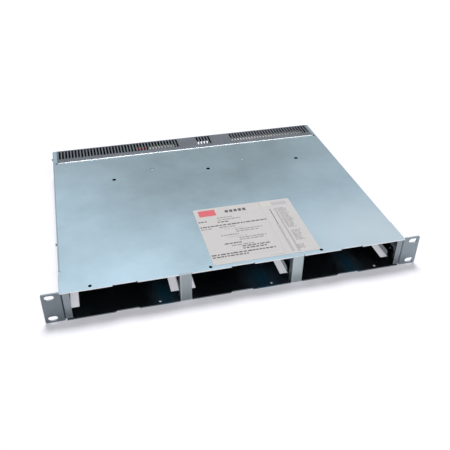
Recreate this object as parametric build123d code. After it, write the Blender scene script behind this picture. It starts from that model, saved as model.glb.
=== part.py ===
from build123d import *
import os

# Rack power shelf, one rack unit high, with three open bays for plug-in power modules.
# Millimetres. X runs to the right seen from the front, Y to the rear, Z up.
# The model is drawn with Y = 0 at the front face of the rack ears and Z = 0 under the floor,
# and each piece is moved on export so that the origin is at the bottom centre of the whole.

# Body
body_width = 440.6          # over the cover's side skirts
body_depth = 350.8          # from the ear face to the back of the rear wall
cover_top = 43.2            # height of the cover's top face
sheet = 1.5                 # tray and cover steel
fold_radius = 0.8           # inside radius of a fold in the tray and cover
front_lip = 0.85            # how far floor and cover stand out in front of the ears
skirt_gap = 0.1             # between cover skirt and tray wall
seat_gap = 0.1              # between pieces that slide together
weld_gap = 0.0              # between faces that are spot welded or rest on each other

# Bays
bay_count = 3
side_post_low_gap = 1.1     # from the floor to the foot of a side post
side_post_high_gap = 0.5    # from a side post's top to the cover
flange_past_post = 1.0      # how far the side posts' width runs past the tray's top flanges
post_width = 15.0           # divider posts
post_sheet = 1.2
post_depth = 9.0
post_fold_radius = 0.6
post_overlap = 0.6          # how far a divider post reaches over the sheet above and below it
divider_sheet = 1.2
divider_end_gap = 4.0       # from the divider's rear end to the backplane
divider_relief = 2.0        # free length between the divider's front fold and its flanges

# Floor windows with lanced guide tabs
guide_side_room = 6.0       # from a tab's guiding face to the middle of the divider
window_width = 9.8
window_length = 60.0
window_front = 18.7
window_rear_margin = 21.3   # from the last window to the divider's rear end
windows_per_side = 2
tab_height = 10.0
tab_lead_in = 3.0
tab_root = 0.4              # how far a tab's section runs into the floor past its fold

# Thumb notches and small holes
notch_width = 30.0
notch_depth = 1.75
latch_hole = 3.6
latch_offset = 40.3         # from the bay centre
latch_y = 4.6
rear_hole = 5.0
rear_hole_offset = 12.3
rear_hole_y = 240.0
weld_dimple = 4.6
weld_dimple_depth = 0.3
weld_dimple_y = 258.3

# Cover
skirt_height = 12.0
skirt_front = 41.0
cover_front_inset = 0.4     # each side, where the cover has no skirt
cutout_front_overlap = 5.7  # the strip covers this much of the cover in front of the cut-out
cutout_side_overlap = 2.6   # and this much at each side of it
corner_relief_width = 2.4
corner_relief_length = 4.4

# Rear panel
rear_sheet = 0.8
rear_fold_radius = 0.8
strip_side_inset = 3.6      # from the tray wall's inside to the strip's end
strip_depth = 41.5
strip_foot = 12.0           # bottom flange
side_tab_depth = 18.0
side_tab_low = 6.0
side_tab_high = 38.0
slot_pitch = 5.0
slot_width = 3.0
slot_front_margin = 11.9    # from the strip's front edge to the slot ends
slot_rear_margin = 3.6      # from the slot ends to the back of the rear wall
slot_end_margin = 4.0       # from the strip's end to the first slot's middle
middle_slots = 5
middle_slots_x = 26.5
blank_left = 35.5           # between the slots beside a plain stretch, left and right of the middle group
blank_right = 38.0
wall_vent_length = 24.0

# Rack ears
ear_sheet = 2.0
ear_fold_radius = 0.3
ear_width = 23.1            # from the tray wall to the ear's tip
ear_low = 0.3
ear_high = 43.6
ear_leg_high = 41.4
ear_leg_depth = 38.0
ear_corner_radius = 2.0
rack_hole_inset = 9.25      # from the ear's tip to the slot centres
rack_hole_spacing_z = 31.75
rack_slot_length = 11.4
rack_slot_height = 6.8
ear_screw_y = 26.0
ear_screw_spacing = 22.0

# Screws
screw_clearance = 0.1       # radial, shank to hole
screw_end = 1.0             # how far a screw reaches past the last sheet
recess_share = 0.55         # of a head's width that the cross recess spans
m3 = 3.0
m4 = 4.0
pan_head_m3 = 5.8
pan_head_m3_height = 2.2
hex_m3 = 5.5                # across the flats of the heads in the rear compartment
hex_m3_height = 2.0
hex_m4 = 7.0
hex_m4_height = 2.8
flat_head_m4 = 7.4
flat_head_sink = 0.1        # flat heads sit this far under the surface
recess_width = 0.9
recess_depth = 1.1
cover_screw_z = 36.5
cover_screw_y = 106.0
panel_screw_z = 35.0
panel_screw_inset = 9.5     # from the back of the rear wall

# Backplane
board = 1.6
rear_compartment = 46.8     # from the backplane's front to the back of the rear wall
backplane_end_margin = 5.0  # from the middle of a board screw to the backplane's end
backplane_low_gap = 2.0     # above the floor
backplane_high_gap = 2.7    # below the cover
rail_sheet = 1.2
rail_bar_gap = 1.0          # below the negative bar
rail_foot = 12.0
rail_end_margin = 4.0       # from the middle of a board screw to the rail's end
board_screw_gap = 8.0       # from the outer bay connector's end to the middle of a board screw

# Bay connectors
socket_width = 90.0
socket_depth = 14.0
socket_height = 31.5
socket_cavity_depth = 10.0
socket_corner = 2.0
socket_chamfer = 0.8
power_cavity_width = 6.0
power_cavity_height = 20.0
power_cavity_offsets = (-39.0, -29.0, 29.0, 39.0)
signal_cavity_width = 26.0
signal_cavity_height = 9.0
guide_hole = 5.0
guide_hole_offset = 20.5
blade_thickness = 2.0
blade_clearance = 2.0
blade_setback = 3.0
pin_size = 0.8
pin_pitch = 2.54
pins_per_row = 8
pin_rows = 2

# Output bars
bar_thickness = 3.0
bar_height = 8.0
positive_bar_rise = 11.4     # from mid-height of the bays to the middle of the strip
negative_bar_drop = 8.6
bar_overrun = 25.3          # past the outer bay centres
bar_fold_radius = 2.0
bar_corner = 3.0
bar_screw_end_gap = 0.3     # from a bar screw's tip to the backplane's front
output_rise = 1.4           # from mid-height of the bays to the underside of the output tabs
output_width = 50.0
output_wall_room = 42.2     # from the tray wall's inside to the middle of the outer tab
output_step = 66.0          # between the two tabs
output_reach = 18.0         # behind the rear wall
output_hole = 6.6
output_hole_spacing = 25.0
output_hole_inset = 8.5     # from the end of the tab

# Output shroud, the insulating duct in the rear window
shroud_wall = 2.0
shroud_side_room = 4.0      # from a bar's edge to the duct's inside
shroud_height = 27.5
shroud_length = 16.0        # inside the rear wall
shroud_flange = 2.0
shroud_flange_margin = 2.0
shroud_flange_corner = 2.0
rib_thickness = 3.0
ribs_per_bar = 2

# Mains inlets
inlet_count = 3
inlet_wall_room = 26.2      # from the tray wall's inside to the middle of the first inlet
inlet_pitch = 34.0
inlet_rise = 1.9            # above mid-height of the bays
inlet_flange_width = 31.0
inlet_flange_height = 25.0
inlet_flange = 2.2
inlet_flange_corner = 2.5
inlet_flange_chamfer = 0.5
inlet_body_width = 27.2
inlet_body_height = 20.4
inlet_body_depth = 23.0     # inside the rear wall
inlet_mouth_width = 22.6
inlet_mouth_height = 15.2
inlet_mouth_chamfer = 4.2
inlet_mouth_depth = 16.0
inlet_pin_chamfer = 0.6
inlet_pin_width = 2.0
inlet_pin_height = 4.0
inlet_pin_length = 12.0
inlet_pin_spread = 7.0
inlet_pin_drop = 2.0
lug_width = 6.3
lug_thickness = 0.8
lug_length = 8.0
sleeve_width = 8.4
sleeve_height = 3.2
sleeve_length = 11.0
sleeve_gap = 0.3            # from the sleeve to the inlet
lead_diameter = 3.0

# Signal board and connectors
signal_board_gap = 5.4      # from the last inlet to the board
signal_board_width = 86.0
signal_board_low_gap = 4.5  # above the floor
signal_board_high_gap = 2.2
signal_board_setback = 7.0  # from the rear wall's inside to the board
signal_connector_inset = 22.0   # from the board's ends to the connector middles
shell_flange_width = 39.2
shell_flange_height = 12.5
shell_wall = 0.5
shell_flange = 0.8
shell_flange_corner = 1.5
shell_corner = 1.3
shell_width = 25.2
shell_height = 8.6
shell_slope = 1.5           # each side of the D outline draws in by this much
shell_reach = 5.6           # behind the rear wall
insert_setback = 0.7
contact_hole = 1.1
contact_hole_depth = 3.0
contact_pitch = 2.77
contact_row_gap = 2.84
contact_count = 8           # in the wider row; the other has one fewer
jack_spacing = 33.3
jack_hex = 4.8
jack_length = 4.8
jack_stud = 2.8
jack_nut = 2.2
header_width = 44.0
header_height = 9.0
header_depth = 8.0
header_end_gap = 5.0        # from the signal board's right end
header_top_gap = 1.2        # below the signal board's top edge
cable_thickness = 1.2
cable_radius = 3.0
cable_level_share = 0.75    # of half its run that the cable stays level at each end
cable_width = 38.0
capacitor_width = 13.0
capacitor_depth = 6.0
capacitor_height = 11.0
capacitor_corner = 1.0
capacitor_gap = 5.5         # beside the header

# Label on the cover
label_left = -36.0
label_right = 104.0
label_front = 5.6
label_back = 130.0
label_corner = 3.0
label_thickness = 0.2

# Values worked out from the ones above
tray_half = body_width / 2 - sheet - skirt_gap
tray_inside = tray_half - sheet
cover_under = cover_top - sheet
strip_top = cover_top + rear_sheet
rear_wall_inside = body_depth - rear_sheet
bay_middle = (sheet + cover_under) / 2
bay_pitch = 2 * tray_inside / bay_count
bay_centres = [(i - (bay_count - 1) / 2) * bay_pitch for i in range(bay_count)]
divider_places = [(a + b) / 2 for a, b in zip(bay_centres, bay_centres[1:])]
side_post_width = sheet + post_width / 2
ear_reach = tray_half + ear_width
guide_half_gap = bay_pitch / 2 - guide_side_room
strip_width = 2 * (tray_inside - strip_side_inset)
slot_length = strip_depth - slot_front_margin - slot_rear_margin
rear_fold_front = body_depth - rear_sheet - rear_fold_radius - seat_gap
backplane_front = body_depth - rear_compartment
backplane_back = backplane_front + board
backplane_low = sheet + backplane_low_gap
backplane_high = cover_under - backplane_high_gap
divider_back = backplane_front - divider_end_gap
window_step = (divider_back - window_rear_margin - window_length - window_front) / (windows_per_side - 1)
socket_low = bay_middle - socket_height / 2
socket_high = bay_middle + socket_height / 2
negative_bar_low = bay_middle - negative_bar_drop - bar_height / 2
positive_bar_low = bay_middle + positive_bar_rise - bar_height / 2
rail_top = negative_bar_low - rail_bar_gap
board_screw_x = bay_centres[-1] + socket_width / 2 + board_screw_gap
board_screw_z = (sheet + rail_sheet + rail_top) / 2
output_level = bay_middle + output_rise
negative_output_x = tray_inside - output_wall_room
positive_output_x = negative_output_x - output_step
output_end = body_depth + output_reach
shroud_low = bay_middle - shroud_height / 2
shroud_high = bay_middle + shroud_height / 2
inlet_first_x = inlet_wall_room - tray_inside
inlet_last_x = inlet_first_x + (inlet_count - 1) * inlet_pitch
inlet_z = bay_middle + inlet_rise
signal_board_left = inlet_last_x + inlet_body_width / 2 + signal_board_gap
signal_board_right = signal_board_left + signal_board_width
signal_connector_places = (signal_board_left + signal_connector_inset,
                           signal_board_right - signal_connector_inset)
signal_connector_z = bay_middle
signal_board_low = sheet + signal_board_low_gap
signal_board_high = cover_under - signal_board_high_gap
header_x = signal_board_right - header_end_gap - header_width / 2
board_header_z = signal_board_high - header_top_gap - header_height / 2
backplane_header_z = bay_middle
capacitor_x = header_x - header_width / 2 - capacitor_gap - capacitor_width / 2
capacitor_z = board_header_z
model_centre_y = (output_end - front_lip) / 2
placement = Pos(0, -model_centre_y, 0)


def prism_x(profile, x0, x1):
    return extrude(Plane.YZ.offset(x0) * profile, x1 - x0, dir=(1, 0, 0))


def prism_y(profile, y0, y1):
    return extrude(Plane.XZ.offset(-y0) * profile, y1 - y0, dir=(0, 1, 0))


def prism_z(profile, z0, z1):
    return extrude(Plane.XY.offset(z0) * profile, z1 - z0, dir=(0, 0, 1))


def block(x0, x1, y0, y1, z0, z1):
    centre = Pos((x0 + x1) / 2, (y0 + y1) / 2, (z0 + z1) / 2)
    return centre * Box(x1 - x0, y1 - y0, z1 - z0)


# Section of a sheet folded along the centre line through the points, with true bend radii.
def folded_section(points, thickness, radius):
    line = [Vector(*p) for p in points]
    runs = [(b - a).normalized() for a, b in zip(line, line[1:])]
    normals = [Vector(-d.Y, d.X) for d in runs]
    turns = [a.X * b.Y - a.Y * b.X for a, b in zip(runs, runs[1:])]
    sides = []
    for sign in (1, -1):
        shift = sign * thickness / 2
        side = [line[0] + normals[0] * shift]
        for corner, before, after in zip(line[1:-1], normals, normals[1:]):
            side.append(corner + (before + after) * (shift / (1 + before.dot(after))))
        side.append(line[-1] + normals[-1] * shift)
        radii = [radius if turn * sign > 0 else radius + thickness for turn in turns]
        sides.append((side, radii))
    left, right = [FilletPolyline(*side, radius=radii) for side, radii in sides]
    ends = [Line(sides[0][0][i], sides[1][0][i]) for i in (0, -1)]
    return make_face(left + ends[1] + right + ends[0])


# Screw along +X with the underside of its head at X = 0 and its tip at X = length.
def pan_screw(shank, head, head_height, length):
    outline = make_face(Polyline((0, shank / 2), (0, head / 2), (-head_height, head / 2),
                                 (-head_height, 0), (length, 0), (length, shank / 2), close=True))
    return revolve(outline, Axis.X) - cross_recess(-head_height, head)


# The same with a hexagonal head and no recess.
def hex_screw(shank, across_flats, head_height, length):
    head = RegularPolygon(across_flats / 2, 6, major_radius=False)
    return prism_x(head, -head_height, 0) + prism_x(Circle(shank / 2), 0, length)


# Screw along +X with its flat head's face at X = 0 and its tip at X = length.
def flat_screw(shank, head, length):
    cone = (head - shank) / 2
    outline = make_face(Polyline((0, 0), (0, head / 2), (cone, shank / 2), (length, shank / 2),
                                 (length, 0), close=True))
    return revolve(outline, Axis.X) - cross_recess(0, head)


def cross_recess(face, head):
    arm = recess_share * head
    return Pos(face + recess_depth / 2, 0, 0) * (Box(recess_depth, arm, recess_width)
                                                  + Box(recess_depth, recess_width, arm))


# Countersink and through hole along +X for a flat screw with its face at X = 0, under the surface.
def flat_screw_hole(shank, head, depth):
    cone = (head - shank) / 2
    grow = screw_clearance
    face = -flat_head_sink
    outline = make_face(Polyline((face, 0), (face, head / 2 + grow - face), (cone, shank / 2 + grow),
                                 (depth, shank / 2 + grow), (depth, 0), close=True))
    return revolve(outline, Axis.X)


def hole_x(x0, x1, y, z, diameter):
    return Pos((x0 + x1) / 2, y, z) * Rot(0, 90, 0) * Cylinder(diameter / 2, x1 - x0)


def hole_y(x, y0, y1, z, diameter):
    return Pos(x, (y0 + y1) / 2, z) * Rot(90, 0, 0) * Cylinder(diameter / 2, y1 - y0)


def hole_z(x, y, z0, z1, diameter):
    return Pos(x, y, (z0 + z1) / 2) * Cylinder(diameter / 2, z1 - z0)


def mirror_x(shape):
    return mirror(shape, about=Plane.YZ)


def facing_side(x, y, z, sign):
    return Pos(x, y, z) * (Rot(0, 0, 180) if sign > 0 else Rot(0, 0, 0))


# Chassis tray: one folded sheet with floor, side walls, top flanges and in-turned front posts.
def chassis_tray():
    wall = tray_half - sheet / 2
    top = cover_under - weld_gap - sheet / 2
    flange_inside = tray_half - side_post_width + flange_past_post
    section = folded_section([(-flange_inside, top), (-wall, top), (-wall, sheet / 2),
                              (wall, sheet / 2), (wall, top), (flange_inside, top)],
                             sheet, fold_radius)
    fold = sheet + fold_radius
    section_front = fold + sheet
    tray = prism_y(section, section_front, body_depth)
    tray -= rear_fold_room()
    tray += block(-tray_half + fold, tray_half - fold, -front_lip, section_front, 0, sheet)
    post = folded_section([(wall, section_front), (wall, sheet / 2),
                           (tray_half - side_post_width, sheet / 2)], sheet, fold_radius)
    side_post = prism_z(post, sheet + side_post_low_gap, cover_under - side_post_high_gap)
    tray += [side_post, mirror_x(side_post)]
    for centre in bay_centres:
        for side in (-1, 1):
            tray = guide_tabs(tray, centre, side)
    cuts = []
    for centre in bay_centres:
        cuts.append(thumb_notch(centre, 0, sheet))
        cuts.append(hole_z(centre + latch_offset, latch_y, -1, sheet + 1, latch_hole))
    for place in divider_places:
        cuts.append(post_notch(place, 0, sheet))
    for side in (-1, 1):
        for x, y, z, diameter in side_holes():
            cuts.append(hole_x(side * x - sheet, side * x + sheet, y, z, diameter))
    return tray - cuts


# Room for the rear panel's fold, cut from the tray's top flanges and the cover's side bands.
def rear_fold_room():
    half = strip_width / 2 + seat_gap
    return block(-half, half, rear_fold_front, body_depth + 1, cover_under - 2 * sheet, cover_top + 1)


# Floor windows of one side of a bay, and the tab lanced up from each.
def guide_tabs(tray, centre, side):
    face = centre + side * guide_half_gap
    bend = sheet + fold_radius
    window = sorted((face - side * window_width, face + side * bend))
    profile = folded_section([(bend + tab_root, sheet / 2), (sheet / 2, sheet / 2),
                              (sheet / 2, tab_height)], sheet, fold_radius)
    for i in range(windows_per_side):
        front = window_front + i * window_step
        back = front + window_length
        tab_front = front + sheet
        lead = make_face(Polyline((tab_front, tab_height), (tab_front + tab_lead_in, tab_height),
                                  (tab_front, tab_height - tab_lead_in), close=True))
        tab = prism_y(profile, tab_front, back - sheet) - prism_x(lead, -1, sheet + 1)
        tray -= block(*window, front, back, -1, sheet + 1)
        tray += Pos(face, 0, 0) * (tab if side > 0 else mirror_x(tab))
    return tray


def thumb_notch(centre, z0, z1):
    bottom = notch_depth - front_lip
    outline = make_face(Polyline((centre - notch_width / 2 - 1, -front_lip - 1),
                                 (centre - notch_width / 2, -front_lip),
                                 (centre - notch_width / 2 + notch_depth, bottom),
                                 (centre + notch_width / 2 - notch_depth, bottom),
                                 (centre + notch_width / 2, -front_lip),
                                 (centre + notch_width / 2 + 1, -front_lip - 1), close=True))
    return prism_z(outline, z0 - 1, z1 + 1)


# The floor and the cover are notched where a divider post stands flush with their front edges.
def post_notch(place, z0, z1):
    half = post_width / 2 + seat_gap
    back = post_sheet - front_lip + seat_gap
    return block(place - half, place + half, -front_lip - 1, back, z0 - 1, z1 + 1)


# Side holes of the tray walls, as x, y, z and diameter on the right side.
def side_holes():
    m3_hole = m3 + 2 * screw_clearance
    m4_hole = m4 + 2 * screw_clearance
    wall = tray_half - sheet / 2
    holes = [(wall, cover_screw_y, cover_screw_z, m3_hole),
             (wall, body_depth - panel_screw_inset, panel_screw_z, m3_hole)]
    return holes + [(wall, ear_screw_y, z, m4_hole) for z in ear_screw_heights()]


def ear_screw_heights():
    middle = (ear_low + ear_leg_high) / 2
    return [middle + side * ear_screw_spacing / 2 for side in (-1, 1)]


# Top cover: one folded sheet with a skirt down each side.
def top_cover():
    wall = body_width / 2 - sheet / 2
    middle = cover_top - sheet / 2
    section = folded_section([(-wall, cover_top - skirt_height), (-wall, middle), (wall, middle),
                              (wall, cover_top - skirt_height)], sheet, fold_radius)
    front_half = body_width / 2 - cover_front_inset
    cover = prism_y(section, skirt_front, body_depth)
    bend = sheet + fold_radius
    flat_half = body_width / 2 - bend
    cover += block(-flat_half, flat_half, skirt_front - sheet, skirt_front, cover_under, cover_top)
    cover += block(-front_half, front_half, -front_lip, skirt_front - sheet, cover_under, cover_top)
    cut_half = strip_width / 2 - cutout_side_overlap
    cutout_front = body_depth - strip_depth + cutout_front_overlap
    cuts = [block(-cut_half, cut_half, cutout_front, body_depth + 1, cover_under - 1, cover_top + 1),
            rear_fold_room()]
    for side in (-1, 1):
        relief = Rectangle(corner_relief_width, corner_relief_length)
        x = side * (strip_width + corner_relief_width) / 2
        cuts.append(prism_z(Pos(x, body_depth - strip_depth) * relief, cover_under - 1, cover_top + 1))
        for y, z in ((cover_screw_y, cover_screw_z), (body_depth - panel_screw_inset, panel_screw_z)):
            cuts.append(hole_x(side * wall - sheet, side * wall + sheet, y, z, m3 + 2 * screw_clearance))
    below, above = cover_under - 1, cover_top + 1
    for centre in bay_centres:
        cuts.append(thumb_notch(centre, cover_under, cover_top))
        cuts.append(hole_z(centre - latch_offset, latch_y, below, above, latch_hole))
        cuts.append(hole_z(centre + rear_hole_offset, rear_hole_y, below, above, rear_hole))
    for place in divider_places:
        cuts.append(post_notch(place, cover_under, cover_top))
        cuts.append(hole_z(place, weld_dimple_y, cover_top - weld_dimple_depth, above, weld_dimple))
    return cover - cuts


# Rear panel: one folded sheet with the vent strip on top, the rear wall, a foot and two side tabs.
def rear_panel():
    half = tray_inside - seat_gap
    middle_y = body_depth - rear_sheet / 2
    section = folded_section([(body_depth - strip_depth, strip_top - rear_sheet / 2),
                              (middle_y, strip_top - rear_sheet / 2),
                              (middle_y, sheet + rear_sheet / 2 + weld_gap),
                              (body_depth - strip_foot, sheet + rear_sheet / 2 + weld_gap)],
                             rear_sheet, rear_fold_radius)
    panel = prism_x(section, -strip_width / 2, strip_width / 2)
    tab = folded_section([(strip_width / 2 - 1, middle_y), (half - rear_sheet / 2, middle_y),
                          (half - rear_sheet / 2, body_depth - side_tab_depth)],
                         rear_sheet, rear_fold_radius)
    side_tab = prism_z(tab, side_tab_low, side_tab_high)
    panel += [side_tab, mirror_x(side_tab)]
    return panel - (vent_slots() + rear_wall_cuts())


def vent_slots():
    slot = Rectangle(slot_width, slot_length)
    y = body_depth - slot_rear_margin - slot_length / 2
    places = middle_slot_places()
    reach = strip_width / 2 - slot_end_margin
    x = places[0] - blank_left
    while x >= -reach:
        places.append(x)
        x -= slot_pitch
    x = places[middle_slots - 1] + blank_right
    while x <= reach:
        places.append(x)
        x += slot_pitch
    return [prism_z(Pos(x, y) * slot, cover_top - 1, strip_top + 1) for x in places]


def middle_slot_places():
    return [middle_slots_x + (i - (middle_slots - 1) / 2) * slot_pitch for i in range(middle_slots)]


def rear_wall_cuts():
    y0 = rear_wall_inside - 1
    y1 = body_depth + 1
    cuts = []
    vent = Rectangle(slot_width, wall_vent_length)
    for x in middle_slot_places():
        cuts.append(prism_y(Pos(x, bay_middle) * vent, y0, y1))
    for x in inlet_places():
        opening = Rectangle(inlet_body_width + 2 * seat_gap, inlet_body_height + 2 * seat_gap)
        cuts.append(prism_y(Pos(x, inlet_z) * opening, y0, y1))
    for x in signal_connector_places:
        cuts.append(prism_y(Pos(x, signal_connector_z) * d_outline(seat_gap), y0, y1))
        for side in (-1, 1):
            cuts.append(hole_y(x + side * jack_spacing / 2, y0, y1, signal_connector_z,
                               jack_stud + 2 * screw_clearance))
    left, right = shroud_span()
    window = Rectangle(right - left + 2 * seat_gap, shroud_high - shroud_low + 2 * seat_gap)
    cuts.append(prism_y(Pos((left + right) / 2, (shroud_low + shroud_high) / 2) * window, y0, y1))
    for side in (-1, 1):
        x = side * (tray_inside - seat_gap - rear_sheet / 2)
        cuts.append(hole_x(x - 1, x + 1, body_depth - panel_screw_inset, panel_screw_z,
                           m3 + 2 * screw_clearance))
    return cuts


# Divider wall: one folded sheet with a flange along its top and foot and one behind the front post.
def divider(place):
    flange = guide_side_room - sheet - fold_radius - seat_gap
    low = sheet + weld_gap + divider_sheet / 2
    high = cover_under - weld_gap - divider_sheet / 2
    radius = post_fold_radius
    section = folded_section([(flange, low), (0, low), (0, high), (flange, high)], divider_sheet, radius)
    flange_front = post_depth - front_lip + seat_gap
    wall = prism_y(section, flange_front, divider_back)
    post_back = post_sheet - front_lip + weld_gap
    weld_flange = post_back + divider_sheet / 2
    front = folded_section([(0, flange_front), (0, weld_flange),
                            (post_width / 2 - post_sheet - post_fold_radius - seat_gap, weld_flange)],
                           divider_sheet, radius)
    fold = divider_sheet / 2 + radius + divider_relief
    wall += prism_z(front, low + fold, high - fold)
    return Pos(place, 0, 0) * (wall if place > 0 else mirror_x(wall))


# Divider post: a shallow channel whose web stands flush with the front edges of floor and cover.
def divider_post(place):
    half = post_width / 2 - post_sheet / 2
    web = post_sheet / 2 - front_lip
    back = post_depth - front_lip
    channel = folded_section([(-half, back), (-half, web), (half, web), (half, back)],
                             post_sheet, post_fold_radius)
    post = prism_z(channel, sheet - post_overlap, cover_under + post_overlap)
    legs = [block(-post_width, post_width, post_sheet - front_lip, back + 1, z0, z1)
            for z0, z1 in ((0, sheet + seat_gap), (cover_under - seat_gap, cover_top))]
    return Pos(place, 0, 0) * (post - legs)


# Rack ear on the right: an angle whose leg is screwed to the tray wall.
def rack_ear():
    leg = tray_half + ear_sheet / 2
    angle = folded_section([(leg, ear_leg_depth), (leg, ear_sheet / 2), (ear_reach, ear_sheet / 2)],
                           ear_sheet, ear_fold_radius)
    ear = prism_z(angle, ear_low, ear_leg_high)
    flange_start = tray_half + ear_sheet + ear_fold_radius
    ear += block(flange_start, ear_reach, 0, ear_sheet, ear_leg_high, ear_high)
    corners = ear.edges().filter_by(Axis.Y).group_by(Axis.X)[-1]
    ear = fillet(corners, ear_corner_radius)
    rear_corners = ear.edges().filter_by(Axis.X).group_by(Axis.Y)[-1]
    ear = chamfer(rear_corners, ear_corner_radius)
    slot = SlotOverall(rack_slot_length, rack_slot_height)
    middle = (ear_low + ear_high) / 2
    for side in (-1, 1):
        place = Pos(ear_reach - rack_hole_inset, middle + side * rack_hole_spacing_z / 2)
        ear -= prism_y(place * slot, -1, ear_sheet + 1)
    face = tray_half + ear_sheet
    for z in ear_screw_heights():
        sunk = facing_side(face - flat_head_sink, ear_screw_y, z, 1)
        ear -= sunk * flat_screw_hole(m4, flat_head_m4, ear_sheet + 1)
    return ear


def ear_screws():
    face = tray_half + ear_sheet - flat_head_sink
    length = ear_sheet + sheet + screw_end
    screw = flat_screw(m4, flat_head_m4, length)
    return [facing_side(side * face, ear_screw_y, z, side) * screw
            for side in (-1, 1) for z in ear_screw_heights()]


def cover_screws():
    screw = pan_screw(m3, pan_head_m3, pan_head_m3_height, 2 * sheet + skirt_gap + screw_end)
    return [facing_side(side * body_width / 2, cover_screw_y, cover_screw_z, side) * screw
            for side in (-1, 1)]


def rear_panel_screws():
    length = 2 * sheet + skirt_gap + seat_gap + rear_sheet + screw_end
    screw = pan_screw(m3, pan_head_m3, pan_head_m3_height, length)
    return [facing_side(side * body_width / 2, body_depth - panel_screw_inset, panel_screw_z, side) * screw
            for side in (-1, 1)]


# The rail that carries the backplane, spot welded to the floor by its foot.
def backplane_rail():
    foot = sheet + weld_gap + rail_sheet / 2
    section = folded_section([(backplane_back + rail_sheet / 2, rail_top),
                              (backplane_back + rail_sheet / 2, foot),
                              (backplane_back + rail_foot, foot)], rail_sheet, post_fold_radius)
    half = board_screw_x + rail_end_margin
    rail = prism_x(section, -half, half)
    return rail - [hole_y(x, backplane_back - 1, backplane_back + rail_sheet + 1, board_screw_z,
                          m3 + 2 * screw_clearance) for x in board_screws_at()]


def board_screws():
    screw = hex_screw(m3, hex_m3, hex_m3_height, board + rail_sheet + screw_end)
    return [Pos(x, backplane_front, board_screw_z) * Rot(0, 0, 90) * screw for x in board_screws_at()]


def backplane_board():
    half = board_screw_x + backplane_end_margin
    plate = block(-half, half, backplane_front, backplane_back, backplane_low, backplane_high)
    cuts = [hole_y(x, backplane_front - 1, backplane_back + 1, board_screw_z, m3 + 2 * screw_clearance)
            for x in board_screws_at()]
    cuts += [hole_y(x, backplane_front - 1, backplane_back + 1, z, m4 + 2 * screw_clearance)
             for x, z in bar_screws_at()]
    return plate - cuts


def board_screws_at():
    return [side * board_screw_x for side in (-1, 1)]


def bar_screws_at():
    return [(centre, low + bar_height / 2) for low in (negative_bar_low, positive_bar_low)
            for centre in bay_centres]


def bar_screws():
    screw = hex_screw(m4, hex_m4, hex_m4_height, bar_thickness + board - bar_screw_end_gap)
    return [Pos(x, backplane_back + bar_thickness, z) * Rot(0, 0, -90) * screw for x, z in bar_screws_at()]


# Bay connector: a moulded block with power cavities, a signal cavity and two guide holes.
def bay_connector(centre):
    front = backplane_front - socket_depth
    middle = (socket_low + socket_high) / 2
    body = block(-socket_width / 2, socket_width / 2, front, backplane_front, socket_low, socket_high)
    body = chamfer(body.edges().filter_by(Axis.Y), socket_corner)
    body = chamfer(body.faces().sort_by(Axis.Y)[0].edges(), socket_chamfer)
    cuts = []
    for x in power_cavity_offsets:
        cavity = Rectangle(power_cavity_width, power_cavity_height)
        cuts.append(prism_y(Pos(x, middle) * cavity, front - 1, front + socket_cavity_depth))
    cavity = Rectangle(signal_cavity_width, signal_cavity_height)
    cuts.append(prism_y(Pos(0, middle) * cavity, front - 1, front + socket_cavity_depth))
    for side in (-1, 1):
        cuts.append(hole_y(side * guide_hole_offset, front - 1, front + socket_cavity_depth, middle,
                           guide_hole))
    return Pos(centre, 0, 0) * (body - cuts)


# Contacts of one bay connector: power blades and two rows of signal pins.
def bay_contacts(centre):
    front = backplane_front - socket_depth
    back = front + socket_cavity_depth
    middle = (socket_low + socket_high) / 2
    half = power_cavity_height / 2 - blade_clearance
    contacts = [block(centre + x - blade_thickness / 2, centre + x + blade_thickness / 2,
                      front + blade_setback, back, middle - half, middle + half)
                for x in power_cavity_offsets]
    for row in range(pin_rows):
        z = middle + (row - (pin_rows - 1) / 2) * pin_pitch
        for i in range(pins_per_row):
            x = centre + (i - (pins_per_row - 1) / 2) * pin_pitch
            contacts.append(block(x - pin_size / 2, x + pin_size / 2, front + blade_setback, back,
                                  z - pin_size / 2, z + pin_size / 2))
    return contacts


# Output bar: a strip along the backplane with one tab folded back through the rear window.
def output_bar(low, tab_x, tab_edge):
    inner = backplane_back + bar_thickness / 2
    level = output_level + bar_thickness / 2
    left, right = tab_x - output_width / 2, tab_x + output_width / 2
    strip = block(bay_centres[0] - bar_overrun, max(right, bay_centres[-1] + bar_overrun),
                  backplane_back, backplane_back + bar_thickness, low, low + bar_height)
    fold = folded_section([(inner, tab_edge), (inner, level), (output_end, level)],
                          bar_thickness, bar_fold_radius)
    bar = strip + prism_x(fold, left, right)
    bar = fillet(bar.edges().filter_by(Axis.Z).group_by(Axis.Y)[-1], bar_corner)
    for side in (-1, 1):
        bar -= hole_z(tab_x + side * output_hole_spacing / 2, output_end - output_hole_inset,
                      output_level - 1, output_level + bar_thickness + 1, output_hole)
    for x, z in bar_screws_at():
        if low < z < low + bar_height:
            bar -= hole_y(x, backplane_back - 1, backplane_back + bar_thickness + 1, z,
                          m4 + 2 * screw_clearance)
    return bar


def shroud_span():
    room = output_width / 2 + shroud_side_room + shroud_wall
    return positive_output_x - room, negative_output_x + room


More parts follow.
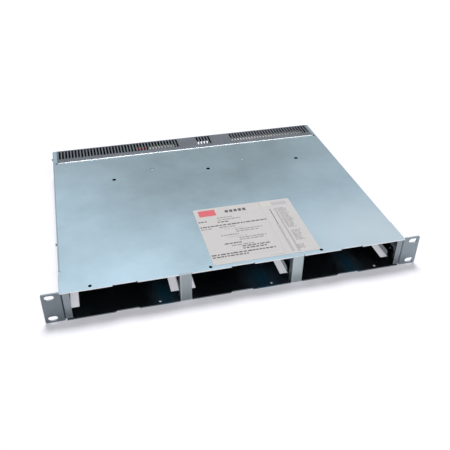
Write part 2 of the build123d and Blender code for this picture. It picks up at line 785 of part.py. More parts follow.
# Output shroud: a moulded duct with a flange outside the rear wall and ribs that carry the bars.
def output_shroud():
    left, right = shroud_span()
    middle = Pos((left + right) / 2, (shroud_low + shroud_high) / 2)
    width = right - left
    height = shroud_high - shroud_low
    front = rear_wall_inside - shroud_length
    duct = prism_y(middle * Rectangle(width, height), front, body_depth)
    lip = RectangleRounded(width + 2 * shroud_flange_margin, height + 2 * shroud_flange_margin,
                           shroud_flange_corner)
    duct += prism_y(middle * lip, body_depth, body_depth + shroud_flange)
    bore = Rectangle(width - 2 * shroud_wall, height - 2 * shroud_wall)
    duct -= prism_y(middle * bore, front - 1, body_depth + shroud_flange + 1)
    for bar_x in (positive_output_x, negative_output_x):
        for i in range(ribs_per_bar):
            x = bar_x + (i - (ribs_per_bar - 1) / 2) * output_hole_spacing
            duct += block(x - rib_thickness / 2, x + rib_thickness / 2, front, body_depth,
                          shroud_low + shroud_wall, output_level)
    divider_x = (positive_output_x + negative_output_x) / 2
    duct += block(divider_x - shroud_wall / 2, divider_x + shroud_wall / 2, front,
                  body_depth + shroud_flange, shroud_low + shroud_wall, shroud_high - shroud_wall)
    return duct


def inlet_places():
    return [inlet_first_x + i * inlet_pitch for i in range(inlet_count)]


# Places of an inlet's three pins about its centre: two live pins and the raised earth pin.
def inlet_pins_at():
    return [(-inlet_pin_spread, -inlet_pin_drop), (0, inlet_pin_drop), (inlet_pin_spread, -inlet_pin_drop)]


def mouth_outline(width, height, corner):
    return make_face(Polyline((-width / 2, -height / 2), (width / 2, -height / 2),
                              (width / 2, height / 2 - corner), (width / 2 - corner, height / 2),
                              (corner - width / 2, height / 2), (-width / 2, height / 2 - corner),
                              close=True))


def mains_inlet(x):
    front = body_depth - inlet_body_depth
    face = body_depth + inlet_flange
    body = prism_y(Rectangle(inlet_body_width, inlet_body_height), front, body_depth)
    flange = prism_y(RectangleRounded(inlet_flange_width, inlet_flange_height, inlet_flange_corner),
                     body_depth, face)
    flange = chamfer(flange.faces().sort_by(Axis.Y)[-1].edges(), inlet_flange_chamfer)
    mouth = mouth_outline(inlet_mouth_width, inlet_mouth_height, inlet_mouth_chamfer)
    body = body + flange - prism_y(mouth, face - inlet_mouth_depth, face + 1)
    for px, pz in inlet_pins_at():
        body -= block(px - inlet_pin_width / 2, px + inlet_pin_width / 2, front - 1, face,
                      pz - inlet_pin_height / 2, pz + inlet_pin_height / 2)
    return Pos(x, 0, inlet_z) * body


# The pins of one inlet, each with the flat lug at its inner end.
def inlet_pins(x):
    front = body_depth - inlet_body_depth
    base = body_depth + inlet_flange - inlet_mouth_depth
    pins = []
    for px, pz in inlet_pins_at():
        pin = block(px - inlet_pin_width / 2, px + inlet_pin_width / 2, front, base + inlet_pin_length,
                    pz - inlet_pin_height / 2, pz + inlet_pin_height / 2)
        pin = chamfer(pin.faces().sort_by(Axis.Y)[-1].edges(), inlet_pin_chamfer)
        lug = block(px - lug_thickness / 2, px + lug_thickness / 2, front - lug_length, front,
                    pz - lug_width / 2, pz + lug_width / 2)
        pins.append(Pos(x, 0, inlet_z) * (pin + lug))
    return pins


# Leads from the inlet lugs to the backplane, each with its insulated sleeve over the lug.
def inlet_leads(only):
    front = body_depth - inlet_body_depth
    leads = []
    for x in inlet_places():
        for i, (px, pz) in enumerate(inlet_pins_at()):
            if i not in only:
                continue
            sleeve_back = front - sleeve_gap
            sleeve_front = sleeve_back - sleeve_length
            sleeve = block(px - sleeve_height / 2, px + sleeve_height / 2, sleeve_front, sleeve_back,
                           pz - sleeve_width / 2, pz + sleeve_width / 2)
            sleeve -= block(px - lug_thickness / 2, px + lug_thickness / 2,
                            front - lug_length, sleeve_back + 1,
                            pz - lug_width / 2, pz + lug_width / 2)
            wire = hole_y(px, backplane_back, sleeve_front, pz, lead_diameter)
            leads.append(Pos(x, 0, inlet_z) * (sleeve + wire))
    return leads


# D-shaped outline of a signal connector's shell, grown by a margin.
def d_outline(margin):
    top = shell_width / 2 + margin
    bottom = top - shell_slope
    half = shell_height / 2 + margin
    outline = make_face(Polyline((-top, half), (-bottom, -half), (bottom, -half), (top, half), close=True))
    return chamfer(outline.vertices(), shell_corner)


def signal_shell(x):
    flange = RectangleRounded(shell_flange_width, shell_flange_height, shell_flange_corner)
    back = rear_wall_inside - shell_flange
    shell = prism_y(flange, back, rear_wall_inside)
    shell += prism_y(d_outline(0), back, body_depth + shell_reach)
    shell -= prism_y(d_outline(-shell_wall), back - 1, body_depth + shell_reach + 1)
    for side in (-1, 1):
        shell -= hole_y(side * jack_spacing / 2, back - 1, rear_wall_inside + 1, 0,
                        jack_stud + 2 * screw_clearance)
    return Pos(x, 0, signal_connector_z) * shell


def signal_insert(x):
    back = rear_wall_inside - shell_flange
    face = body_depth + shell_reach - insert_setback
    body = prism_y(d_outline(-shell_wall - seat_gap / 2), back, face)
    body += block(-shell_width / 2, shell_width / 2, signal_board_back(), back,
                  -shell_height / 2, shell_height / 2)
    holes = []
    for row, count in ((1, contact_count), (-1, contact_count - 1)):
        for i in range(count):
            px = (i - (count - 1) / 2) * contact_pitch
            pz = row * contact_row_gap / 2
            holes.append(block(px - contact_hole / 2, px + contact_hole / 2, face - contact_hole_depth,
                               face + 1, pz - contact_hole / 2, pz + contact_hole / 2))
    return Pos(x, 0, signal_connector_z) * (body - holes)


def signal_board_back():
    return rear_wall_inside - signal_board_setback


def jack_screws():
    screws = []
    nut_back = rear_wall_inside - shell_flange
    for x in signal_connector_places:
        for side in (-1, 1):
            place = Pos(x + side * jack_spacing / 2, signal_connector_z)
            hexagon = place * RegularPolygon(jack_hex / 2, 6, major_radius=False)
            head = prism_y(hexagon, body_depth, body_depth + jack_length)
            nut = prism_y(hexagon, nut_back - jack_nut, nut_back)
            stud = prism_y(place * Circle(jack_stud / 2), nut_back, body_depth)
            screws.append(head + nut + stud)
    return screws


def signal_board():
    back = signal_board_back()
    return block(signal_board_left, signal_board_right, back - board, back,
                 signal_board_low, signal_board_high)


# Flat cable headers: one on the signal board's front side, one on the backplane's rear side.
def cable_headers():
    half = header_width / 2
    board_front = signal_board_back() - board
    headers = []
    for y0, y1, z in ((board_front - header_depth, board_front, board_header_z),
                      (backplane_back, backplane_back + header_depth, backplane_header_z)):
        headers.append(block(header_x - half, header_x + half, y0, y1,
                             z - header_height / 2, z + header_height / 2))
    return headers


def flat_cable():
    y0 = backplane_back + header_depth
    y1 = signal_board_back() - board - header_depth
    level = cable_level_share * (y1 - y0) / 2
    section = folded_section([(y0, backplane_header_z), (y0 + level, backplane_header_z),
                              (y1 - level, board_header_z), (y1, board_header_z)],
                             cable_thickness, cable_radius)
    return prism_x(section, header_x - cable_width / 2, header_x + cable_width / 2)


def capacitor():
    board_front = signal_board_back() - board
    body = block(capacitor_x - capacitor_width / 2, capacitor_x + capacitor_width / 2,
                 board_front - capacitor_depth, board_front,
                 capacitor_z - capacitor_height / 2, capacitor_z + capacitor_height / 2)
    return fillet(body.edges().filter_by(Axis.Y), capacitor_corner)


def cover_label():
    width = label_right - label_left
    depth = label_back - label_front
    outline = Pos((label_left + label_right) / 2, (label_front + label_back) / 2) * RectangleRounded(
        width, depth, label_corner)
    return prism_z(outline, cover_top, cover_top + label_thickness)


def save(name, shapes):
    solids = []
    for shape in shapes if isinstance(shapes, list) else [shapes]:
        solids += (placement * shape).solids()
    whole = solids[0] if len(solids) == 1 else Compound(children=solids)
    whole.label = name
    export_step(whole, f"parts/{name}.step")
    print(name, len(solids), round(sum(s.volume for s in solids), 1))


os.makedirs("parts", exist_ok=True)
ear = rack_ear()
save("chassis_tray", chassis_tray())
save("top_cover", top_cover())
save("rear_panel", rear_panel())
save("rack_ear_right", ear)
save("rack_ear_left", mirror_x(ear))
for side_name, place in zip(("left", "right"), divider_places):
    save(f"divider_wall_{side_name}", divider(place))
    save(f"divider_post_{side_name}", divider_post(place))
save("ear_screws", ear_screws())
save("cover_screws", cover_screws())
save("rear_panel_screws", rear_panel_screws())
save("backplane_board", backplane_board())
save("backplane_rail", backplane_rail())
save("board_screws", board_screws())
save("bar_screws", bar_screws())
for bay_name, centre in zip(("left", "centre", "right"), bay_centres):
    save(f"bay_connector_{bay_name}", bay_connector(centre))
    save(f"bay_contacts_{bay_name}", bay_contacts(centre))
save("output_bar_positive", output_bar(positive_bar_low, positive_output_x, positive_bar_low + bar_height))
save("output_bar_negative", output_bar(negative_bar_low, negative_output_x, negative_bar_low))
save("output_shroud", output_shroud())
for number, x in enumerate(inlet_places(), 1):
    save(f"mains_inlet_{number}", mains_inlet(x))
    save(f"inlet_pins_{number}", inlet_pins(x))
save("mains_leads", inlet_leads((0, 2)))
save("earth_leads", inlet_leads((1,)))
for number, x in enumerate(signal_connector_places, 1):
    save(f"signal_shell_{number}", signal_shell(x))
    save(f"signal_insert_{number}", signal_insert(x))
save("jack_screws", jack_screws())
save("signal_board", signal_board())
save("cable_headers", cable_headers())
save("flat_cable", flat_cable())
save("capacitor", capacitor())
save("cover_label", cover_label())
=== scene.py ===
import math
import random
import bmesh
import bpy
from mathutils import Matrix, Vector


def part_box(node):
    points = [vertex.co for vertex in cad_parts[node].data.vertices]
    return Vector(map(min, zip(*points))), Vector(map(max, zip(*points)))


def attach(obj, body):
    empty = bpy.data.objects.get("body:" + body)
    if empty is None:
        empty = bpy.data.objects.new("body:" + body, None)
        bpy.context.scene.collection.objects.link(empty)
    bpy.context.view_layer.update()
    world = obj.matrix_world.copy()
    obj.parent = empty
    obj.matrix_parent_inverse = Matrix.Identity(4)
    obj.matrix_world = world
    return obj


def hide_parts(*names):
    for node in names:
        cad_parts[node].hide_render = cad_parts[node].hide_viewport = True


# Rack power shelf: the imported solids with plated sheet, moulding, board and print materials,
# broken edges on the folded sheets, and a plain generic print on the cover label.
# Lengths in the dictionaries are millimetres unless a name says otherwise. The scene is in metres.

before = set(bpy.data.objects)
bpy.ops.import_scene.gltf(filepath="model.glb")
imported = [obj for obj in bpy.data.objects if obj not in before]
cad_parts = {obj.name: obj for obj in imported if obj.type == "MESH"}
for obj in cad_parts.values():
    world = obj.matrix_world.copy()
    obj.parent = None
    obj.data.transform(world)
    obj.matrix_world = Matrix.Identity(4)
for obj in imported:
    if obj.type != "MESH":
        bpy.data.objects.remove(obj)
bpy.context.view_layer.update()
mm = 0.001


# sRGB hex to linear, with alpha
def linear(code):
    parts = [int(code[i:i + 2], 16) / 255 for i in (1, 3, 5)]
    return tuple(c / 12.92 if c <= 0.04045 else ((c + 0.055) / 1.055) ** 2.4 for c in parts) + (1,)


# a node with its settings (inputs by name or number, anything else as a property) and its links
def add(tree, kind, settings=None, links=None):
    node = tree.nodes.new("ShaderNode" + kind)
    for key, value in (settings or {}).items():
        if isinstance(key, int) or key in node.inputs:
            node.inputs[key].default_value = value
        else:
            setattr(node, key, value)
    for key, source in (links or {}).items():
        tree.links.new(source, node.inputs[key])
    return node


# scale at which one unit of a pattern is this many millimetres long
def perMetre(size):
    return 1 / (size * mm)


# an empty material with its shader and output, and the place on the object that its patterns start from
def startMaterial(name, shader):
    material = bpy.data.materials.new(name)
    material.use_nodes = True
    tree = material.node_tree
    tree.nodes.clear()
    principled = add(tree, "BsdfPrincipled", shader)
    add(tree, "OutputMaterial", links={"Surface": principled.outputs[0]})
    where = add(tree, "TexCoord").outputs["Object"]
    return material, tree, principled, where


# how far a place lies from an oval's middle, where 1 is the oval's rim
def fromMiddle(tree, where, oval):
    x, y, halfWidth, halfDepth = oval
    scaled = add(tree, "Mapping", {"Location": (-x / halfWidth, -y / halfDepth, 0),
                                   "Scale": (perMetre(halfWidth), perMetre(halfDepth), 0)},
                 {"Vector": where})
    return add(tree, "VectorMath", {"operation": "LENGTH"}, {0: scaled.outputs[0]}).outputs["Value"]


# Zinc plated sheet, cold rolled and then plated. It is a metal with a satin gloss: soft cloudy patches
# where the plating took differently, and hair-thin rolling lines along one way.
# Real rolling lines are about 0.05 mm apart. They are drawn about ten times as coarse, so that a close
# view shows them.
plating = {"contrast": 0.2,  # noise this far from its middle is the lightest or darkest tone
           "gloss": (-0.05, 0.06),  # the roughness drifts by this
           "lineDepth": 0.02}  # how deep the rolling lines are drawn


def platedSheet(name, look):
    material, tree, principled, where = startMaterial(
        name, {"Metallic": look["metal"], "Roughness": look["rough"]})
    cloud = add(tree, "TexNoise", {"Scale": perMetre(look["cloud"]), "Detail": 3.0, "Roughness": 0.55},
                {"Vector": where})
    mottle = add(tree, "TexNoise", {"Scale": perMetre(look["mottle"]), "Detail": 2.0}, {"Vector": where})
    summed = add(tree, "Math", {"operation": "MULTIPLY_ADD", 1: look["mottleShare"]},
                 {0: mottle.outputs[0], 2: cloud.outputs[0]})
    middle = 0.5 * (1 + look["mottleShare"])
    spread = add(tree, "MapRange", {"From Min": middle - plating["contrast"],
                                    "From Max": middle + plating["contrast"]}, {"Value": summed.outputs[0]})
    if "paintedShadeOval" in look:  # painted shade and highlight: darkest in the middle of this oval, lighter towards its ends
        paintedShade = add(tree, "MapRange", {"interpolation_type": "SMOOTHSTEP", "From Min": look["paintedShadeCore"],
                                       "From Max": look["paintedShadeRim"]},
                    {"Value": fromMiddle(tree, where, look["paintedShadeOval"])})
        spread = add(tree, "Mix", {"data_type": "FLOAT", 0: look["cloudShare"]},
                     {2: paintedShade.outputs[0], 3: spread.outputs[0]})
    tone = add(tree, "Mix", {"data_type": "RGBA", 6: linear(look["dark"]), 7: linear(look["light"])},
               {0: spread.outputs[0]})
    if "paintedLightOvals" in look:  # painted light: ovals that change tone and metalness, a painted highlight on the cover and a painted sheen on the tray's floor
        patched = None
        for oval in look["paintedLightOvals"]:
            patch = add(tree, "MapRange", {"interpolation_type": "SMOOTHSTEP",
                                           "To Min": 1.0, "To Max": 0.0},
                        {"Value": fromMiddle(tree, where, oval)})
            patched = patch if patched is None else add(tree, "Math", {"operation": "MAXIMUM"},
                                                        {0: patched.outputs[0], 1: patch.outputs[0]})
        tone = add(tree, "Mix", {"data_type": "RGBA", 7: linear(look["paintedLightTone"])},
                   {0: patched.outputs[0], 6: tone.outputs[2]})
        metal = add(tree, "MapRange", {"To Min": look["metal"], "To Max": look["paintedLightMetal"]},
                    {"Value": patched.outputs[0]})
        tree.links.new(metal.outputs[0], principled.inputs["Metallic"])
    tree.links.new(tone.outputs[2], principled.inputs["Base Color"])
    sizes = [look["line"] if axis == look["across"] else look["lineLength"] for axis in range(3)]
    stretch = add(tree, "Mapping", {"Scale": [perMetre(size) for size in sizes]}, {"Vector": where})
    lines = add(tree, "TexNoise", {"Scale": 1.0, "Detail": 2.0}, {"Vector": stretch.outputs[0]})
    bump = add(tree, "Bump", {"Strength": look["relief"], "Distance": plating["lineDepth"] * mm},
               {"Height": lines.outputs[0]})
    tree.links.new(bump.outputs[0], principled.inputs["Normal"])
    down, up = plating["gloss"]
    gloss = add(tree, "MapRange", {"To Min": look["rough"] + down, "To Max": look["rough"] + up},
                {"Value": cloud.outputs[0]})
    tree.links.new(gloss.outputs[0], principled.inputs["Roughness"])
    return material


# Plated or tinned small metal, and steel that was cut, drawn or welded. Even, with a faint cloud.
def platedPart(name, rough, cloudSize, dark, light):
    material, tree, principled, where = startMaterial(name, {"Metallic": 1.0, "Roughness": rough})
    cloud = add(tree, "TexNoise", {"Scale": perMetre(cloudSize), "Detail": 3.0}, {"Vector": where})
    tone = add(tree, "Mix", {"data_type": "RGBA", 6: linear(dark), 7: linear(light)}, {0: cloud.outputs[0]})
    tree.links.new(tone.outputs[2], principled.inputs["Base Color"])
    bump = add(tree, "Bump", {"Strength": 0.15, "Distance": 0.02 * mm}, {"Height": cloud.outputs[0]})
    tree.links.new(bump.outputs[0], principled.inputs["Normal"])
    return material


# Moulded nylon, extruded PVC or dipped epoxy: even colour and a fine grain. Some let a little light in.
def moulding(name, rough, glow, grainSize, relief, dark, light):
    material, tree, principled, where = startMaterial(
        name, {"Metallic": 0.0, "Roughness": rough, "IOR": 1.53,
               "Subsurface Weight": glow, "Subsurface Scale": 1.0 * mm})
    grain = add(tree, "TexNoise", {"Scale": perMetre(grainSize), "Detail": 2.0}, {"Vector": where})
    tone = add(tree, "Mix", {"data_type": "RGBA", 6: linear(dark), 7: linear(light)}, {0: grain.outputs[0]})
    tree.links.new(tone.outputs[2], principled.inputs["Base Color"])
    bump = add(tree, "Bump", {"Strength": relief, "Distance": 0.03 * mm}, {"Height": grain.outputs[0]})
    tree.links.new(bump.outputs[0], principled.inputs["Normal"])
    return material


# Glass laminate under green solder mask: glossy, with lighter copper runs showing through, a pin's
# pitch apart.
def maskedLaminate(name, look):
    material, tree, principled, where = startMaterial(
        name, {"Metallic": 0.0, "Roughness": 0.32, "IOR": 1.5})
    runs = add(tree, "TexBrick", {"Scale": 1.0, "Mortar Size": look["run"] * mm,
                                  "Brick Width": look["runLength"] * mm, "Row Height": look["pitch"] * mm,
                                  "Color1": linear(look["mask"]), "Color2": linear(look["maskDark"]),
                                  "Mortar": linear(look["copper"])}, {"Vector": where})
    tree.links.new(runs.outputs["Color"], principled.inputs["Base Color"])
    bump = add(tree, "Bump", {"Strength": 0.3, "Distance": 0.03 * mm}, {"Height": runs.outputs["Fac"]})
    tree.links.new(bump.outputs[0], principled.inputs["Normal"])
    return material


# Flat ribbon cable: grey PVC, one shallow valley between each two conductors, the valleys drawn darker than
# the ridges as painted shade.
def ribbonCable(name, look):
    material, tree, principled, where = startMaterial(
        name, {"Metallic": 0.0, "Roughness": 0.45, "IOR": 1.53})
    perWave = math.pi / 10  # the wave pattern's own period at a scale of 1
    ribs = add(tree, "TexWave", {"wave_type": "BANDS", "bands_direction": "X",
                                 "Scale": perWave * perMetre(look["pitch"])}, {"Vector": where})
    tone = add(tree, "Mix", {"data_type": "RGBA", 6: linear(look["shadedValley"]), 7: linear(look["ridge"])},
               {0: ribs.outputs["Fac"]})
    tree.links.new(tone.outputs[2], principled.inputs["Base Color"])
    bump = add(tree, "Bump", {"Strength": 0.6, "Distance": 0.2 * mm}, {"Height": ribs.outputs["Fac"]})
    tree.links.new(bump.outputs[0], principled.inputs["Normal"])
    return material


# Printed polyester film, laminated: smooth and slightly glossy, with a faint ripple from the adhesive.
def printedFilm(name, look):
    material, tree, principled, where = startMaterial(
        name, {"Metallic": 0.0, "Roughness": look["rough"], "IOR": 1.46})
    ripple = add(tree, "TexNoise", {"Scale": perMetre(look["ripple"]), "Detail": 1.0}, {"Vector": where})
    tone = add(tree, "Mix", {"data_type": "RGBA", 6: linear(look["dark"]), 7: linear(look["light"])},
               {0: ripple.outputs[0]})
    tree.links.new(tone.outputs[2], principled.inputs["Base Color"])
    bump = add(tree, "Bump", {"Strength": 0.1, "Distance": 0.05 * mm}, {"Height": ripple.outputs[0]})
    tree.links.new(bump.outputs[0], principled.inputs["Normal"])
    return material


# Ovals are middle x, middle y, half width and half depth. The axis across the rolling lines is 0, 1 or 2.
# Painted shade and highlight on the cover: the tone oval darkens the rear middle and lightens the front,
# and the oval of lighter tone at the front right is a painted highlight.
coverSheet = {"metal": 0.9, "rough": 0.36, "dark": "#65747a", "light": "#93a8b5",
              "cloud": 90, "mottle": 8, "mottleShare": 0.25, "cloudShare": 0.2,
              "paintedShadeOval": (30, 200, 250, 330),
              "paintedShadeCore": 0.15, "paintedShadeRim": 1.5,  # shares of that oval, between which the tone drifts
              "paintedLightOvals": [(195, -165, 150, 130)], "paintedLightTone": "#a2b0b9", "paintedLightMetal": 0.9,
              "line": 0.6, "lineLength": 60, "across": 1, "relief": 0.25}
# Painted sheen: blue, less metallic ovals on the tray's floor scatter light where bare metal would stay
# dark, standing in for a dark blue sheen in the bays.
traySheet = {"metal": 1.0, "rough": 0.24, "dark": "#838b8f", "light": "#8e969a",
             "cloud": 60, "mottle": 6, "mottleShare": 0.3,
             "paintedLightOvals": [(-97, -165, 26, 60), (30, -165, 36, 60), (152, -165, 22, 60)],
             "paintedLightTone": "#2e7390", "paintedLightMetal": 0.62,
             "line": 0.6, "lineLength": 60, "across": 2, "relief": 0.25}
# The divider walls are blue and less metallic all over, a painted sheen standing in for the dark blue sheen
# in the bays.
wallSheet = {"metal": 0.55, "rough": 0.42, "dark": "#3d6484", "light": "#4a7699",
             "cloud": 60, "mottle": 6, "mottleShare": 0.3,
             "line": 0.6, "lineLength": 60, "across": 2, "relief": 0.25}
# The strip is darker and duller than the cover.
stripSheet = {"metal": 0.9, "rough": 0.45, "dark": "#4e535a", "light": "#5a5f67",
              "cloud": 45, "mottle": 5, "mottleShare": 0.3,
              "line": 0.5, "lineLength": 50, "across": 1, "relief": 0.25}
# Painted light: each bracket has a tone of its own, and the right-hand ones are drawn lighter than the
# left-hand ones, as the light falls more on the right.
bracketSheet = {"metal": 0.7, "rough": 0.4, "cloud": 25, "mottle": 4, "mottleShare": 0.3,
                "line": 0.5, "lineLength": 40, "across": 0, "relief": 0.25}
sideLitBrackets = {"postLeft": ("#949fa1", "#a0abad"), "postRight": ("#adbabc", "#b9c6c8"),
           "earLeft": ("#768085", "#808a8f"), "earRight": ("#8a969c", "#94a0a5")}
smallMetal = {  # roughness, size of the cloud, darkest and lightest tone
    "screw": ("zincPlatedScrew", 0.38, 3, "#898d8e", "#a3a7a8"),  # zinc plated in a barrel, satin grey
    "tin": ("tinPlatedCopper", 0.35, 6, "#b9b7b1", "#d2d0ca"),  # pale and a little warm
    "gold": ("goldFlashedContact", 0.25, 2, "#cfa94f", "#e3c374"),  # a thin flash of gold, glossy
    "pin": ("nickelPlatedBrass", 0.25, 2, "#b5afa0", "#d0cabb"),  # the brass warms the nickel
    "shell": ("tinPlatedShell", 0.32, 4, "#b3b2ad", "#cccbc6"),  # drawn steel, tinned
    "sheared": ("shearedEdgeHighlight", 0.5, 3, "#d5dadc", "#e6eaeb"),  # bare steel, rough, drawn near white: partly its own tone and partly a painted highlight
    "foldLine": ("paintedFoldHighlight", 0.45, 4, "#b4babb", "#c3c8c8"),  # painted highlight: the folds drawn lighter for the light they catch
    "punched": ("paintedHoleShade", 0.7, 2, "#131516", "#1d1f20"),  # painted shade: the hole walls and rims drawn near black, where the holes look dark
    "weldMark": ("spotWeldMark", 0.5, 3, "#7e8e95", "#88989f"),  # dulled by the electrode
}
plastics = {  # roughness, share of light that goes below the skin, grain size, relief, two tones
    "black": ("blackNylon", 0.5, 0.0, 0.5, 0.25, "#131313", "#1f1f20"),  # moulded, satin
    "natural": ("naturalNylon", 0.5, 0.12, 0.5, 0.2, "#dcdad2", "#e9e8e2"),  # moulded, undyed and milky
    "white": ("whiteNylonHeader", 0.45, 0.08, 0.4, 0.2, "#d8d7cf", "#e6e5df"),  # moulded, satin
    "red": ("dippedRedEpoxy", 0.22, 0.05, 2.0, 0.2, "#8c1712", "#b3261d"),  # dipped, glossy and uneven
    "brown": ("brownLeadPvc", 0.45, 0.0, 1.0, 0.1, "#3b2417", "#4d3020"),  # extruded, smooth
    "green": ("greenLeadPvc", 0.45, 0.0, 1.0, 0.1, "#2a6a2c", "#3a8a38"),  # extruded, smooth
}
laminate = {"pitch": 2.54, "run": 0.35, "runLength": 10.16,  # width and length of a copper run
            "mask": "#1d4a2b", "maskDark": "#1a4527", "copper": "#3c6b3f"}
finishes = {
    "cover": platedSheet("zincPlatedCover", coverSheet),
    "tray": platedSheet("zincPlatedTray", traySheet),
    "strip": platedSheet("zincPlatedRearStrip", stripSheet),
    "wall": platedSheet("blueWallPaintedSheen", wallSheet),
    "board": maskedLaminate("greenMaskedLaminate", laminate),
    "ribbon": ribbonCable("ribbonCablePvc", {"pitch": 1.27, "shadedValley": "#83868a", "ridge": "#a8abaf"}),
    "film": printedFilm("printedLabelFilm", {"rough": 0.4, "ripple": 9,
                                             "dark": "#cbc8c8", "light": "#d1cfcf"}),
}
for key, (dark, light) in sideLitBrackets.items():
    finishes[key] = platedSheet("zincPlated" + key[0].upper() + key[1:],
                                dict(bracketSheet, dark=dark, light=light))
for key, look in smallMetal.items():
    finishes[key] = platedPart(*look)
for key, look in plastics.items():
    finishes[key] = moulding(*look)

# which finish each node of the CAD model takes
nodeFinish = {
    "chassis_tray": "tray", "top_cover": "cover", "rear_panel": "strip",
    "rack_ear_right": "earRight", "rack_ear_left": "earLeft",
    "divider_wall_left": "wall", "divider_wall_right": "wall",
    "divider_post_left": "postLeft", "divider_post_right": "postRight",
    "ear_screws": "screw", "cover_screws": "screw", "rear_panel_screws": "screw",
    "board_screws": "screw", "bar_screws": "screw", "jack_screws": "screw",
    "backplane_board": "board", "signal_board": "board", "backplane_rail": "tray",
    "output_bar_positive": "tin", "output_bar_negative": "tin", "output_shroud": "natural",
    "mains_leads": "brown", "earth_leads": "green", "cable_headers": "white", "flat_cable": "ribbon",
    "capacitor": "red", "cover_label": "film",
}
for bay in ("left", "centre", "right"):
    nodeFinish["bay_connector_" + bay] = "black"
    nodeFinish["bay_contacts_" + bay] = "gold"
for number in (1, 2, 3):
    nodeFinish[f"mains_inlet_{number}"] = "black"
    nodeFinish[f"inlet_pins_{number}"] = "pin"
for number in (1, 2):
    nodeFinish[f"signal_shell_{number}"] = "shell"
    nodeFinish[f"signal_insert_{number}"] = "black"
for name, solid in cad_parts.items():
    solid.data.materials.clear()
    solid.data.materials.append(finishes[nodeFinish[name]])
print("finishes on", len(nodeFinish), "nodes")

# Folded sheets are sheared and punched, then tumbled: every cut edge is broken by a small round,
# which catches the light as a thin bright line. Each piece stands for its solid.
brokenEdge = {
    "top_cover": 0.35, "rear_panel": 0.25, "rack_ear_left": 0.3, "rack_ear_right": 0.3,
    "divider_post_left": 0.25, "divider_post_right": 0.25, "chassis_tray": 0.3,
}
edgeSettings = {
    "segments": 2, "fromAngle": 35, "flatWithin": 0.6,  # angles in degrees
    "sameCorner": 0.002,  # corners this close are one
    "atTop": 0.05,  # an edge this close to the top of its sheet lies in it
    "frontOfStrip": 0.5, "rimOfHole": 0.45,  # wider breaks, one facet each: the strip's front carries the painted edge highlight, the hole rims the painted shade
}

# Some faces of a sheet have a finish of their own, in material slots 1 to 4:
# - the front edges of cover and strip were sheared after plating; they are drawn near white, bare steel
#   with a painted highlight for the light along the edge
# - the posts' folds are drawn lighter, a painted highlight where the bends catch the light
# - the cover's small holes and weld dimples were punched: the holes' walls and drawn-in rims are painted
#   near black, a painted shade in the holes
# - the spot welds under those dimples dulled their floors
ownFinishes = ["sheared", "foldLine", "punched", "weldMark"]
slotOf = {finish: i + 1 for i, finish in enumerate(ownFinishes)}
faceSettings = {
    "sheared": {"top_cover": 1.5, "rear_panel": 0.8}, "slack": 0.1,  # sheet thickness, and a little more
    "shearedReach": 2,  # how far behind the front the edge can lie
    "foldLine": ["divider_post_left", "divider_post_right"],
    "holeDepth": 1.6, "holeFacet": 0.8,  # at most, the second in square millimetres
    "holeZone": (2, 300),  # behind the front, from the notches to the rear cut-out
    "sideZone": 5,  # width at each side without small holes
    "dimpleDepth": (0.2, 0.4),
}


# the finish of one face of a sheet, where it isn't the sheet's own
def faceFinish(name, face, low, high):
    look = faceSettings
    middle = face.calc_center_median()
    behind = (middle.y - low.y) / mm
    fromSide = min(middle.x - low.x, high.x - middle.x) / mm
    depth = (high.z - min(v.co.z for v in face.verts)) / mm
    x, y, z = face.normal
    facesFront, upright, level = y < -0.8, abs(z) < 0.1, z > 0.99
    turning = 0.2 < abs(x) < 0.98 and abs(y) > 0.2  # part of a fold between front and side
    if name in look["sheared"] and facesFront and behind < look["shearedReach"] \
            and depth < look["sheared"][name] + look["slack"]:
        return "sheared"
    if name in look["foldLine"] and turning:
        return "foldLine"
    if name != "top_cover":
        return None
    start, end = look["holeZone"]
    if upright and face.calc_area() < look["holeFacet"] * mm ** 2 and depth < look["holeDepth"] \
            and fromSide > look["sideZone"] and start < behind < end:
        return "punched"
    start, end = look["dimpleDepth"]
    if level and start < depth < end:
        return "weldMark"
    return None


